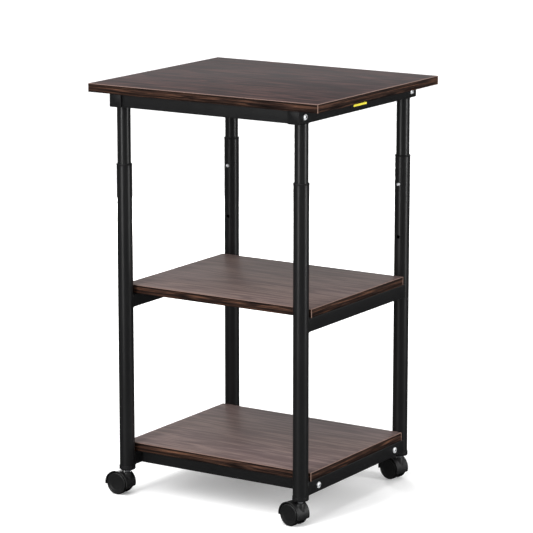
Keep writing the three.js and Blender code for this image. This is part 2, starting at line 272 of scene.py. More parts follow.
def cylinder(radius, low, high, axis="Z", at=(0, 0, 0), segments=48):
    turn = {"X": AXIS_X, "Y": AXIS_Y, "Z": Matrix.Identity(4)}[axis]
    bm = revolved([(0, low), (radius, low), (radius, high), (0, high)], segments)
    return moved(bm, Matrix.Translation(at) @ turn)


# ---- materials ----

class Nodes:
    """A short way to write a node tree."""

    def __init__(self, name):
        self.material = bpy.data.materials.new(name)
        self.material.use_nodes = True
        self.tree = self.material.node_tree
        self.shader = self.tree.nodes["Principled BSDF"]

    def add(self, kind, **inputs):
        node = self.tree.nodes.new("ShaderNode" + kind)
        for key, value in inputs.items():
            self.put(node, key.replace("_", " "), value)
        return node

    def put(self, node, key, value):
        socket = node.inputs[int(key)] if str(key).isdigit() else node.inputs[key]
        if isinstance(value, bpy.types.NodeSocket):
            self.tree.links.new(value, socket)
        else:
            socket.default_value = value

    def math(self, operation, a, b=0.0):
        node = self.tree.nodes.new("ShaderNodeMath")
        node.operation = operation
        self.put(node, 0, a)
        self.put(node, 1, b)
        return node.outputs[0]

    def place(self, scale=(1, 1, 1)):
        where = self.add("TexCoord").outputs["Object"]
        return self.add("Mapping", Vector=where, Scale=scale).outputs["Vector"]

    def noise(self, scale, vector, detail=4.0, roughness=0.55, distortion=0.0):
        node = self.add("TexNoise", Vector=vector, Scale=scale, Detail=detail, Roughness=roughness)
        node.inputs["Distortion"].default_value = distortion
        return node.outputs["Fac"]

    def ramp(self, factor, stops):
        node = self.add("ValToRGB", Fac=factor)
        elements = node.color_ramp.elements
        while len(elements) < len(stops):
            elements.new(0.5)
        for element, (position, colour) in zip(elements, stops):
            element.position = position
            element.color = (*colour, 1)
        return node.outputs["Color"]

    def grey(self, factor, low, high):
        node = self.add("MapRange", Value=factor)
        node.inputs["To Min"].default_value = low
        node.inputs["To Max"].default_value = high
        return node.outputs["Result"]

    def mix(self, factor, a, b, blend="MIX"):
        node = self.tree.nodes.new("ShaderNodeMix")
        node.data_type = "RGBA"
        node.blend_type = blend
        self.put(node, 0, factor)
        self.put(node, 6, a if isinstance(a, bpy.types.NodeSocket) else (*a, 1))
        self.put(node, 7, b if isinstance(b, bpy.types.NodeSocket) else (*b, 1))
        return node.outputs[2]

    def bump(self, height, distance, strength):
        return self.add("Bump", Height=height, Distance=distance, Strength=strength).outputs["Normal"]

    def shade(self, **inputs):
        for key, value in inputs.items():
            name = key.replace("_", " ")
            if isinstance(value, tuple) and len(value) == 3:
                value = (*value, 1)
            self.put(self.shader, name, value)
        return self.material


def powder_coat():
    """Satin black polyester powder: fine orange peel and slight cloudiness."""
    n = Nodes("powder_coat_black")
    where = n.place()
    cloud = n.noise(9, where, 3)
    peel = n.noise(950, where, 2, 0.4)
    grain = n.noise(4200, where, 2, 0.6)
    colour = n.mix(cloud, (0.0040, 0.0041, 0.0044), (0.0070, 0.0070, 0.0073))
    height = n.math("ADD", peel, n.math("MULTIPLY", grain, 0.25))
    return n.shade(
        Base_Color=colour,
        Roughness=n.grey(n.noise(30, where, 3), 0.29, 0.37),
        Specular_IOR_Level=0.3,
        Normal=n.bump(height, 0.00006, 0.6),
    )


# Walnut tones from the darkest grain line to the lightest streak, and where each sits on the grain's scale.
TOP_TONES = (
    (0.0090, 0.0040, 0.0042), (0.024, 0.0102, 0.0100), (0.048, 0.0215, 0.0195), (0.110, 0.0500, 0.0390),
)
# The shelves carry the top board's walnut laminate; their much lighter tones are painted light and sheen.
SHELF_TONES_PAINTED_LIGHT = (
    (0.097, 0.0640, 0.0560), (0.136, 0.0925, 0.0800), (0.178, 0.1240, 0.1045), (0.231, 0.1620, 0.1300),
)
BAND_TONES = (
    (0.0045, 0.0020, 0.0014), (0.014, 0.0062, 0.0039), (0.032, 0.0145, 0.0085), (0.090, 0.0385, 0.0190),
)
TONE_STOPS = (0.28, 0.44, 0.58, 0.74)
COOL_TINT = (0.86, 0.90, 1.16)
COOL_SHARE = 0.7
RINGS = 46.0
RING_SHARE = 0.28
PORE_LIMIT = 0.40
PORE_DEPTH = 0.6
# How light an edge band is from the board's underside (0) to its top (1), and how far that wanders.
BAND_PROFILE = (
    (0.05, 0.45), (0.16, 1.0), (0.34, 0.62), (0.46, 0.95), (0.62, 1.7), (0.74, 1.15), (0.86, 0.42),
)
BAND_WANDER = 0.35


def laminate(name, grain_scale, tones, gloss, specular, profile=None):
    """Walnut print under a matt film. grain_scale stretches the figure along the board's grain.

    The figure is broad rings and fine streaks, cooler in patches and pricked with dark pores.
    """
    n = Nodes(name)
    broad = n.noise(1.0, n.place(grain_scale), 3, 0.5, 0.35)
    rings = n.math("MULTIPLY", n.math("ADD", n.math("SINE", n.math("MULTIPLY", broad, RINGS)), 1.0), 0.5)
    streaks = n.noise(1.0, n.place([s * 5 for s in grain_scale]), 5, 0.62)
    pores = n.noise(1.0, n.place([s * k for s, k in zip(grain_scale, (14, 26, 26))]), 2, 0.7)
    tone = n.math("ADD", n.math("MULTIPLY", rings, RING_SHARE), n.math("MULTIPLY", streaks, 1 - RING_SHARE))
    wood = n.ramp(tone, list(zip(TONE_STOPS, tones)))
    patches = n.noise(3.1, n.place((1, 1.6, 1)), 2, 0.5)
    colour = n.mix(n.grey(patches, 0.0, COOL_SHARE), wood, n.mix(1.0, wood, COOL_TINT, "MULTIPLY"))
    colour = n.mix(n.math("MULTIPLY", n.math("LESS_THAN", pores, PORE_LIMIT), 0.5), colour, tones[0])
    if profile:
        height = n.add("SeparateXYZ", Vector=n.add("TexCoord").outputs["Generated"]).outputs["Z"]
        wander = n.math("MULTIPLY", n.math("SUBTRACT", streaks, 0.5), BAND_WANDER)
        # A colour ramp stops at 1, so it holds half of each level.
        shade = n.ramp(n.math("ADD", height, wander), [(z, (v / 2, v / 2, v / 2)) for z, v in profile])
        colour = n.mix(1.0, colour, n.mix(1.0, shade, (2, 2, 2), "MULTIPLY"), "MULTIPLY")
    relief = n.math("SUBTRACT", streaks, n.math("MULTIPLY", pores, PORE_DEPTH))
    return n.shade(
        Base_Color=colour,
        Roughness=n.grey(streaks, *gloss),
        Specular_IOR_Level=specular,
        Normal=n.bump(relief, 0.00008, 0.5),
    )


def backing_paper():
    """The dark paper on the boards' undersides, with the chips behind it just showing."""
    n = Nodes("backing_paper_dark")
    chips = n.noise(1.0, n.place((90, 260, 260)), 4, 0.6)
    colour = n.ramp(chips, [(0.3, (0.020, 0.012, 0.009)), (0.7, (0.045, 0.028, 0.020))])
    return n.shade(Base_Color=colour, Roughness=n.grey(chips, 0.6, 0.8), Normal=n.bump(chips, 0.0001, 0.4))


MOTTLE_DARK = 0.82
FLOW_LIGHT = 1.5


def zinc_plate(name, base, rough, metal):
    """Zinc plate on steel: slightly blue, with fine mottling and tool marks."""
    n = Nodes(name)
    mottle = n.noise(700, n.place(), 3)
    marks = n.noise(1.0, n.place((500, 500, 5200)), 2)
    colour = n.mix(mottle, base, tuple(c * MOTTLE_DARK for c in base))
    return n.shade(
        Base_Color=colour,
        Metallic=metal,
        Roughness=n.grey(marks, *rough),
        Normal=n.bump(marks, 0.00002, 0.4),
    )


def moulded_plastic(name, base, rough, spark, specular):
    """Matt moulded plastic with a fine spark-eroded texture."""
    n = Nodes(name)
    where = n.place()
    spots = n.noise(spark, where, 2, 0.5)
    flow = n.noise(60, where, 3)
    colour = n.mix(flow, base, tuple(c * FLOW_LIGHT for c in base))
    return n.shade(
        Base_Color=colour,
        Roughness=n.grey(flow, *rough),
        Specular_IOR_Level=specular,
        Normal=n.bump(spots, 0.00005, 0.5),
    )


def label_surface(name, size, detail, dark, light, rough):
    """Printed film with a faint speckle."""
    n = Nodes(name)
    speck = n.noise(size, n.place(), detail)
    return n.shade(
        Base_Color=n.mix(speck, dark, light),
        Roughness=n.grey(speck, *rough),
        Normal=n.bump(speck, 0.00002, 0.3),
    )


GRAIN_FACE = (2.2, 26, 26)
GRAIN_BAND_X = (3.0, 90, 120)
GRAIN_BAND_Y = (90, 3.0, 120)
FACE_GLOSS = (0.38, 0.5)
BAND_GLOSS = (0.42, 0.55)
COARSE, MEDIUM, FINE = 900.0, 1800.0, 2600.0

COAT = powder_coat()
TOP_FACE = laminate("laminate_face_top", GRAIN_FACE, TOP_TONES, FACE_GLOSS, 0.3)
SHELF_FACE_PAINTED_LIGHT = laminate("laminate_face_shelf", GRAIN_FACE, SHELF_TONES_PAINTED_LIGHT, FACE_GLOSS, 0.3)
BAND_X = laminate("edge_band_along_x", GRAIN_BAND_X, BAND_TONES, BAND_GLOSS, 0.2, BAND_PROFILE)
BAND_Y = laminate("edge_band_along_y", GRAIN_BAND_Y, BAND_TONES, BAND_GLOSS, 0.2, BAND_PROFILE)
BACKING = backing_paper()
ZINC = zinc_plate("zinc_bright", (0.78, 0.80, 0.82), (0.28, 0.4), 0.5)
# A much darker copy of the zinc for the caster stems: painted shade for the stems under the leg plugs.
STEM_ZINC_PAINTED_SHADE = zinc_plate("zinc_dull", (0.15, 0.155, 0.165), (0.3, 0.42), 0.5)
# A darker zinc for the inside of the bolts' hex sockets: painted shade in the recess.
SOCKET_SHADE = zinc_plate("zinc_socket", (0.16, 0.17, 0.18), (0.45, 0.6), 0.3)
SPRING = zinc_plate("spring_steel_bright", (0.66, 0.67, 0.69), (0.22, 0.34), 0.6)
# The bands' upper rounded edges in a lighter brown: a painted highlight along the top arris.
ARRIS_PAINTED_HIGHLIGHT = moulded_plastic("edge_band_arris", (0.155, 0.098, 0.082), (0.4, 0.5), COARSE, 0.25)
RAW_END = moulded_plastic("edge_band_raw_end", (0.16, 0.10, 0.078), (0.5, 0.6), COARSE, 0.25)
PLASTIC = moulded_plastic("plastic_black_matt", (0.005, 0.005, 0.0054), (0.42, 0.55), FINE, 0.16)
NYLON = moulded_plastic("nylon_black_satin", (0.005, 0.005, 0.0053), (0.4, 0.5), FINE, 0.4)
WHEEL_FACE = moulded_plastic("wheel_face_black_satin", (0.004, 0.004, 0.0042), (0.3, 0.4), MEDIUM, 0.4)
TREAD = moulded_plastic("tread_black_matt", (0.0025, 0.0025, 0.0026), (0.65, 0.8), MEDIUM, 0.1)
FILM = label_surface("label_film_black", 1500, 2, (0.004, 0.004, 0.0045), (0.008, 0.008, 0.009), (0.25, 0.33))
INK = label_surface("label_ink_yellow", 900, 3, (0.62, 0.53, 0.02), (0.72, 0.62, 0.03), (0.35, 0.5))


# ---- boards ----

BAND = 2.0 * MM
BAND_ROUNDING = 1.4 * MM
BAND_END_EDGE = 0.5 * MM
BAND_JOINT_GAP = 0.12 * MM
PANEL_EDGE = 0.35 * MM


def edge_band(half_height, half_length):
    """A strip that runs along Y with its outer face at x = 0; its outer long edges are rounded."""
    bm = bmesh.new()
    rings = []
    for y, inset in (
        (-half_length, BAND_END_EDGE), (BAND_END_EDGE - half_length, 0),
        (half_length - BAND_END_EDGE, 0), (half_length, BAND_END_EDGE),
    ):
        high = half_height - inset
        section = [
            (-BAND, -half_height, 0), (-inset, -high, BAND_ROUNDING),
            (-inset, high, BAND_ROUNDING), (-BAND, half_height, 0),
        ]
        rings.append([bm.verts.new((x, y, z)) for x, z in fillet(section, 0, 5)])
    skin(bm, rings, caps=True)
    return bm


def board(node, body):
    """A laminated panel with a band on each of its edges; the front and rear bands cover the corners."""
    low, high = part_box(node)
    inset = Vector((BAND, BAND, 0))
    panel = box(low + inset, high - inset, PANEL_EDGE)
    # The shelves' lighter print is painted light and sheen.
    face_print = TOP_FACE if body == "upper_frame" else SHELF_FACE_PAINTED_LIGHT
    core = piece(f"{node}_panel", panel, face_print, body, replaces=[node])
    core.data.materials.append(BACKING)
    for face in core.data.polygons:
        if face.normal.z < -0.5:
            face.material_index = 1
    centre = (low + high) / 2
    half = (high - low) / 2
    side_length = half.y - BAND - BAND_JOINT_GAP
    for name, quarter_turns, reach, half_length, material in (
        ("front", -1, half.y, half.x, BAND_X), ("rear", 1, half.y, half.x, BAND_X),
        ("left", 2, half.x, side_length, BAND_Y), ("right", 0, half.x, side_length, BAND_Y),
    ):
        turn = Matrix.Rotation(quarter_turns * math.pi / 2, 4, "Z")
        place = Matrix.Translation(centre) @ turn @ Matrix.Translation((reach, 0, 0))
        strip = moved(edge_band(half.z, half_length), place)
        band = piece(f"{node}_edge_band_{name}", strip, material, body)
        band.data.materials.append(ARRIS_PAINTED_HIGHLIGHT)
        band.data.materials.append(RAW_END)
        # Faces that look upwards take the lighter arris brown, a painted highlight; the front and rear bands'
        # end faces take the raw-end brown.
        for face in band.data.polygons:
            if material is BAND_X and abs(face.normal.x) > 0.6:
                face.material_index = 2
            elif face.normal.z > 0.1:
                face.material_index = 1


# ---- square tube rails ----

CORNER_RADIUS = 1.8 * MM
CAP_RIM = 2 * MM
RAIL_WALL = 1.25 * MM
TUBE_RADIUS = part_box("outer_leg_tube_front_left")[1].x - middle("outer_leg_tube_front_left").x
BOLT_HOLE = 3.4 * MM
RAIL_STATIONS = 12
COPE_GAP = 0.05 * MM


def square_tube(half, length_half, cuts=(), plate=None):
    """A hollow square tube along Y, centred on the origin, with the cuts taken out of it.

    plate is the thickness of the plates that close its ends, or None where they are open.
    """
    outline = fillet(rectangle(half, half), CORNER_RADIUS, 6)
    hollow = fillet(rectangle(half - RAIL_WALL, half - RAIL_WALL), CORNER_RADIUS - RAIL_WALL, 4)
    stations = [length_half * k / RAIL_STATIONS for k in range(-RAIL_STATIONS, RAIL_STATIONS + 1)]
    body = extruded(outline, stations)
    reach = length_half + MM if plate is None else length_half - plate
    bore = extruded(hollow, [-reach, reach])
    return carved(body, [bore, *cuts])


def bolt_drills(nodes, centre, half):
    out = []
    for node in nodes:
        at = middle(node) - centre
        out.append(cylinder(BOLT_HOLE, -half * 1.5, half * 1.5, "X", (0, at.y, at.z), 32))
    return out


def side_rails():
    for side in SIDES:
        for level, body in (("top", "upper_frame"), ("middle", "lower_frame"), ("bottom", "lower_frame")):
            node = f"{level}_side_rail_{side}"
            low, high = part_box(node)
            centre = (low + high) / 2
            half = (high.z - low.z) / 2
            length_half = (high.y - low.y) / 2 - (CAP_RIM if level == "top" else 0)
            cuts = []
            if level != "middle":
                bolts = [f"{level}_rail_bolt_{end}_{side}" for end in ("front", "rear")]
                cuts += bolt_drills(bolts, centre, half)
            if level != "top":
                for end in ("front", "rear"):
                    x, y = leg_axis(f"{end}_{side}")
                    at = (x - centre.x, y - centre.y, 0)
                    cuts.append(cylinder(TUBE_RADIUS + COPE_GAP, -half - MM, half + MM, "Z", at, 96))
            bm = square_tube(half, length_half, cuts)
            piece(node + "_tube", moved(bm, Matrix.Translation(centre)), COAT, body, [node])


END_PLATE = 3 * MM
TAPPED_HOLE = 3.05 * MM


def cross_rails():
    """Square tubes with an end plate at each end, tapped for its bolt."""
    quarter = Matrix.Rotation(math.pi / 2, 4, "Z")
    for level, body in BOLTED_LEVELS:
        for end in ("front", "rear"):
            node = f"{level}_{end}_rail"
            low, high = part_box(node)
            half = (high.z - low.z) / 2
            length_half = (high.x - low.x) / 2
            tapped = cylinder(TAPPED_HOLE, -length_half - MM, length_half + MM, "Y")
            bm = square_tube(half, length_half, [tapped], END_PLATE)
            place = Matrix.Translation((low + high) / 2) @ quarter
            piece(node + "_tube", moved(bm, place), COAT, body, [node])


def rail_end_caps():
    """Square plastic inserts in the open ends of the top side rails."""
    for side in SIDES:
        low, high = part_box(f"top_side_rail_{side}")
        centre = (low + high) / 2
        half = (high.z - low.z) / 2
        for end, y, way in (("front", low.y, -1), ("rear", high.y, 1)):
            rim = fillet(rectangle(half - 0.1 * MM, half - 0.1 * MM), CORNER_RADIUS, 6)
            crown = fillet(rectangle(half - 0.6 * MM, half - 0.6 * MM), CORNER_RADIUS, 6)
            plug = fillet(rectangle(half - RAIL_WALL - 0.2 * MM, half - RAIL_WALL - 0.2 * MM), MM, 6)
            bm = bmesh.new()
            rings = []
            for outline, depth in ((plug, -11.0), (plug, -2.0), (rim, -2.0), (rim, -0.4), (crown, 0.0)):
                rings.append([bm.verts.new((x, way * depth * MM, z)) for x, z in outline])
            skin(bm, rings, caps=True)
            at = Matrix.Translation((centre.x, y, centre.z))
            name = f"rail_end_cap_{end}_{side}"
            piece(name, moved(bm, at), PLASTIC, "upper_frame", sharp=50)


# ---- welds ----

WELD = 1.15 * MM
WELD_SIDES = 8
WELD_RIPPLE = 0.13
WELD_STEP = 1.5 * MM
WELD_RISE_STEPS = 15
WELD_CROSS_STEPS = 18
POST_WELD_HALF_TURN = 52


def saddle_welds():
    """The fillet welds where the side rails meet the round legs: down one side, under, and up the other."""
    for level in ("middle", "bottom"):
        for corner in CORNERS:
            end, side = corner.split("_")
            low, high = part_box(f"{level}_side_rail_{side}")
            x0, y0 = leg_axis(corner)
            half = (high.x - low.x) / 2
            inward = 1 if end == "front" else -1
            reach = half - CORNER_RADIUS * 0.3
            steps = [2 * MM + k * WELD_STEP for k in range(WELD_RISE_STEPS)]
            points = [(-reach, high.z - step) for step in steps]
            across = [2 * reach * k / WELD_CROSS_STEPS - reach for k in range(WELD_CROSS_STEPS + 1)]
            points += [(x, low.z + 0.2 * MM) for x in across]
            points += [(reach, low.z + step) for step in steps]
            path = []
            for x, z in points:
                y = y0 + inward * (math.sqrt(TUBE_RADIUS ** 2 - x ** 2) + 0.3 * MM)
                path.append(Vector((x0 + x, y, z)))
            bead = swept(path, WELD, WELD_SIDES, WELD_RIPPLE)
            piece(f"weld_{level}_{corner}", bead, COAT, "lower_frame", sharp=60)


def post_welds():
    """The welds across the top side rails' undersides, in front of and behind each inner tube."""
    for corner in CORNERS:
        low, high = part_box(f"inner_leg_tube_{corner}")
        centre = (low + high) / 2
        r = (high.x - low.x) / 2 + 0.3 * MM
        for end, way in (("front", -1), ("rear", 1)):
            spread = range(-POST_WELD_HALF_TURN, POST_WELD_HALF_TURN + 1, 4)
            turns = [math.radians(way * 90 + t) for t in spread]
            ring = [Vector((r * math.cos(t), r * math.sin(t), 0)) for t in turns]
            at = Vector((centre.x, centre.y, high.z - 0.3 * MM))
            bead = swept([at + point for point in ring], WELD, WELD_SIDES, WELD_RIPPLE)
            piece(f"weld_post_{corner}_{end}", bead, COAT, "upper_frame", sharp=60)


# ---- telescopic legs ----

TUBE_WALL = 1.5 * MM
TUBE_LIP = 0.4 * MM
TUBE_STATION = 30 * MM
OUTER_HOLE = 4.0 * MM
INNER_HOLE = 3.8 * MM
HOLE_CHAMFER = 0.7 * MM
# A tube has a ring of corners this far above and below each hole, and no other ring within the clearance.
HOLE_RING = 7 * MM
HOLE_CLEARANCE = 9 * MM
BUTTON_LEAF_BELOW = 7 * MM


def round_tube(node, holes, hole_radius, towards):
    """A tube with softened ends and round holes in the wall that faces towards (+1 back, -1 front)."""
    low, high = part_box(node)
    centre = (low + high) / 2
    r = (high.x - low.x) / 2
    inner = r - TUBE_WALL
    lip = TUBE_LIP
    heights = {low.z + lip, high.z - lip}
    for z in holes:
        heights |= {z - HOLE_RING, z + HOLE_RING}
    steps = int((high.z - low.z) / TUBE_STATION)
    for k in range(1, steps):
        z = low.z + (high.z - low.z) * k / steps
        if all(abs(z - h) > HOLE_CLEARANCE for h in holes):
            heights.add(z)
    profile = [(inner, low.z + lip), (inner + lip, low.z), (r - lip, low.z)]
    profile += [(r, z) for z in sorted(heights)]
    profile += [(r - lip, high.z), (inner + lip, high.z), (inner, high.z - lip)]
    body = revolved(profile, 96, closed=True)
    cuts = []
    for z in holes:
        wide = hole_radius + HOLE_CHAMFER
        drill = [
            (0, 0), (hole_radius, 0), (hole_radius, r - HOLE_CHAMFER / 2), (wide, r + HOLE_CHAMFER / 2),
            (wide, r + 4 * MM), (0, r + 4 * MM),
        ]
        turn = Matrix.Rotation(-towards * math.pi / 2, 4, "X")
        cuts.append(moved(revolved(drill, 40), Matrix.Translation((0, 0, z)) @ turn))
    return moved(carved(body, cuts), Matrix.Translation((centre.x, centre.y, 0)))


def lock_hole_heights(corner):
    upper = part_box(f"lock_button_{corner}")[0].z + BUTTON_LEAF_BELOW
    drop = joint("table_height")["range_m"][0]
    return upper, upper + drop


def legs():
    for corner in CORNERS:
        upper, lower = lock_hole_heights(corner)
        towards = hole_side(corner)
        node = f"outer_leg_tube_{corner}"
        bm = round_tube(node, (upper, lower), OUTER_HOLE, towards)
        piece(node + "_steel", bm, COAT, "lower_frame", [node])
        node = f"inner_leg_tube_{corner}"
        bm = round_tube(node, (upper,), INNER_HOLE, towards)
        piece(node + "_steel", bm, COAT, "upper_frame", [node])
        guide_collar(corner)


def guide_collar(corner):
    """The plastic guide in the mouth of an outer tube: a chamfered flange with a sleeve below it."""
    x, y = leg_axis(corner)
    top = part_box(f"outer_leg_tube_{corner}")[1].z
    bore = 14.08 * MM
    sleeve = 14.42 * MM
    sleeve_end = top - 16 * MM
    flange = TUBE_RADIUS + 0.35 * MM
    flange_top = top + 3.6 * MM
    outline = [
        (bore, sleeve_end, 0), (sleeve, sleeve_end, 0), (sleeve, top, 0), (flange, top, 0.3 * MM),
        (flange, top + 2.2 * MM, 0.5 * MM), (flange - 1.2 * MM, flange_top, 0.5 * MM),
        (bore, flange_top, 0.15 * MM),
    ]
    bm = revolved(fillet(outline, 0, 3), 96, closed=True)
    piece(f"guide_collar_{corner}", moved(bm, along_z(x, y)), PLASTIC, "lower_frame")


def lock_spring(half, thick):
    """The back leg of the V: over the top of the leaf, then down and away to the tube's far wall."""
    turn_share = 0.3
    top = 43.5 * MM
    centre_line = []
    for k in range(25):
        t = k / 24
        if t < turn_share:
            bend = math.pi * t / turn_share
            centre_line.append((5.2 * MM * math.cos(bend) + 0.6 * MM, top + 4.2 * MM * math.sin(bend)))
        else:
            down = (t - turn_share) / (1 - turn_share)
            centre_line.append((-4.6 * MM - 5.5 * MM * down, top - 58 * MM * down))
    strip = bmesh.new()
    rings = []
    for i, (depth, rise) in enumerate(centre_line):
        a = Vector(centre_line[max(0, i - 1)])
        b = Vector(centre_line[min(len(centre_line) - 1, i + 1)])
        normal = Vector((b.y - a.y, a.x - b.x)).normalized() * thick / 2
        ring = [(-half, 1), (half, 1), (half, -1), (-half, -1)]
        rings.append([strip.verts.new((x, depth + s * normal.x, rise + s * normal.y)) for x, s in ring])
    skin(strip, rings, caps=True)
    return strip


def lock_buttons():
    """A domed stud on the front leg of a spring-steel V. The back leg of the V stays against the tube."""
    shoulder = 11.2 * MM
    shoulder_radius = 5 * MM
    tip = TUBE_RADIUS + 4 * MM
    r = 3.5 * MM
    dome_height = 2.6 * MM
    half = 4 * MM
    thick = 0.7 * MM
    leaf_front = shoulder - 1.6 * MM
    for corner in CORNERS:
        x, y = leg_axis(corner)
        upper, _ = lock_hole_heights(corner)
        turns = [math.pi / 2 * k / 10 for k in range(10)]
        dome = [(r * math.cos(t), tip - dome_height + dome_height * math.sin(t)) for t in turns]
        profile = [
            (0, shoulder - MM), (shoulder_radius - 0.3 * MM, shoulder - MM),
            (shoulder_radius, shoulder - 0.7 * MM), (shoulder_radius, shoulder),
            (r + 0.3 * MM, shoulder), (r, shoulder + 0.3 * MM), *dome, (0, tip),
        ]
        stud = moved(revolved(profile, 48), AXIS_Y)
        low = (-half, leaf_front, -BUTTON_LEAF_BELOW)
        leaf = box(low, (half, leaf_front + thick, 42 * MM), 0.2 * MM)
        place = Matrix.Translation((x, y, upper))
        if hole_side(corner) < 0:
            place = place @ Matrix.Rotation(math.pi, 4, "Z")
        node = f"lock_button_{corner}"
        button = moved(carved(stud, [leaf], "UNION"), place)
        piece(node + "_stud", button, SPRING, f"lock_{corner}", [node])
        spring = moved(lock_spring(half, thick), place)
        piece(f"lock_spring_{corner}", spring, SPRING, "upper_frame", sharp=40)


# ---- bolts and screws ----

SHANK = 3 * MM
THREAD_DEPTH = 0.5 * MM
PITCH = 1.0 * MM
PLAIN_SHANK = 12 * MM
SOCKET_RADIUS = 2.5 * MM
SOCKET_DEPTH = 1.9 * MM


def bolt_profile(length, head_r, head_h):
    """A threaded shank below z = 0 and a button head above it."""
    end = -(length - head_h)
    turns = int((length - head_h - PLAIN_SHANK) / PITCH)
    start = end + 0.6 * MM
    profile = [(0, end), (SHANK - 0.7 * MM, end)]
    for k in range(turns):
        profile += [(SHANK - THREAD_DEPTH, start + k * PITCH), (SHANK, start + (k + 0.5) * PITCH)]
    profile += [(SHANK, start + turns * PITCH), (SHANK, 0), (head_r - 0.25 * MM, 0), (head_r, 0.25 * MM)]
    for k in range(1, 12):
        t = math.pi / 2 * k / 12
        profile.append((head_r * math.cos(t) ** 0.8, head_h * (0.3 + 0.7 * math.sin(t))))
    return profile + [(0, head_h)]


def rail_bolts():
    """Button-head machine bolts with a hexagon socket, through the side rails into the cross rails."""
    for level, body in BOLTED_LEVELS:
        rail_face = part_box(f"{level}_side_rail_right")[1].x
        for corner in CORNERS:
            node = f"{level}_rail_bolt_{corner}"
            low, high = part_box(node)
            centre = (low + high) / 2
            head_h = max(high.x, -low.x) - rail_face
            socket_floor = head_h - SOCKET_DEPTH
            socket = cylinder(SOCKET_RADIUS, socket_floor, socket_floor + 3 * MM, segments=6)
            profile = bolt_profile(high.x - low.x, (high.z - low.z) / 2, head_h)
            bm = carved(revolved(profile, 48), [socket])
            outward = 1 if centre.x > 0 else -1
            face_x = high.x - head_h if outward > 0 else low.x + head_h
            turn = Matrix.Rotation(outward * math.pi / 2, 4, "Y")
            place = Matrix.Translation((face_x, centre.y, centre.z)) @ turn
            bolt = piece(node + "_steel", moved(bm, place), ZINC, body, [node])
            # The socket's walls and floor take the darker zinc: painted shade in the recess.
            bolt.data.materials.append(SOCKET_SHADE)
            back = place.inverted()
            for face in bolt.data.polygons:
                at = back @ face.center
                if at.xy.length < SOCKET_RADIUS + 0.1 * MM and head_h - 2 * MM < at.z < head_h - 0.3 * MM:
                    face.material_index = 1


SCREW_REACH = 110 * MM
SCREW_PROFILE = (
    (0, -2.3), (1.6, -2.25), (2.9, -1.85), (3.7, -1.0), (3.9, -0.25), (3.8, 0), (1.8, 0), (1.8, 6), (0, 6),
)
SCREW_TURN = 0.4


def cross_recess():
    """The two bars that cut the cross into a screw's head, which is at z = 0 and faces down."""
    reach, width, depth = 2.1 * MM, 0.45 * MM, 1.5 * MM
    at = Matrix.Translation((0, 0, -2.6 * MM))
    sizes = (Vector((reach, width, depth)), Vector((width, reach, depth)))
    return [moved(box(-size, size), at) for size in sizes]


def board_screws():
    """Pan-head screws up through the rails into the boards."""
    rows = (("top", 3, "upper_frame"), ("middle", 2, "lower_frame"), ("bottom", 2, "lower_frame"))
    for side in SIDES:
        for level, count, body in rows:
            low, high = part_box(f"{level}_side_rail_{side}")
            for k in range(count):
                y = 2 * SCREW_REACH * k / (count - 1) - SCREW_REACH
                bm = carved(revolved([(r * MM, h * MM) for r, h in SCREW_PROFILE], 40), cross_recess())
                place = along_z((low.x + high.x) / 2, y, low.z, SCREW_TURN)
                piece(f"board_screw_{level}_{side}_{k}", moved(bm, place), ZINC, body)


# ---- feet and casters ----

def leg_plug(corner):
    node = f"leg_plug_{corner}"
    x, y = leg_axis(corner)
    low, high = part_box(node)
    rim_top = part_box(f"outer_leg_tube_{corner}")[0].z
    rim = (high.x - low.x) / 2
    barrel = 14.3 * MM
    socket = 5.6 * MM
    edge = 0.3 * MM
    outline = [
        (socket, low.z, 0.4 * MM), (rim, low.z, 2.6 * MM), (rim, rim_top, 0.5 * MM), (barrel, rim_top, 0),
        (barrel, high.z - 2 * MM, edge), (barrel - 1.2 * MM, high.z, edge), (socket, high.z, 0),
    ]
    bm = revolved(fillet(outline, 0, 5), 96, closed=True)
    piece(node + "_moulded", moved(bm, along_z(x, y)), PLASTIC, "lower_frame", [node])


def caster_stem(corner):
    node = f"caster_stem_{corner}"
    x, y = leg_axis(corner)
    low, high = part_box(node)
    collar_low = 49.5 * MM
    collar_high = 53.5 * MM
    journal, collar, grip, tip = 4.0 * MM, 5.5 * MM, 5.3 * MM, 3.6 * MM
    outline = [
        (0, low.z, 0), (journal, low.z, 0.5 * MM), (journal, collar_low, 0), (collar, collar_low, 0.4 * MM),
        (collar, collar_high, 0.4 * MM), (grip, collar_high, 0), (grip, high.z - 4 * MM, 0.3 * MM),
        (tip, high.z, 0.3 * MM), (0, high.z, 0),
    ]
    stem = moved(revolved(fillet(outline, 0, 3), 48), along_z(x, y))
    # The stem's darker zinc is painted shade.
    piece(node + "_steel", stem, STEM_ZINC_PAINTED_SHADE, "lower_frame", [node])


# The hood's arc about the axle, in radians, where 0 points to the stem's side. The pull rounds its corners.
HOOD_FROM = -0.32
HOOD_TO = math.pi + 0.16
HOOD_STEPS = 56
HOOD_BEAD = 0.45 * MM
HOOD_RIM_WIDTH = 4.5 * MM
HOOD_RIM_PULL = 0.13
HOOD_GRID = 2.5 * MM


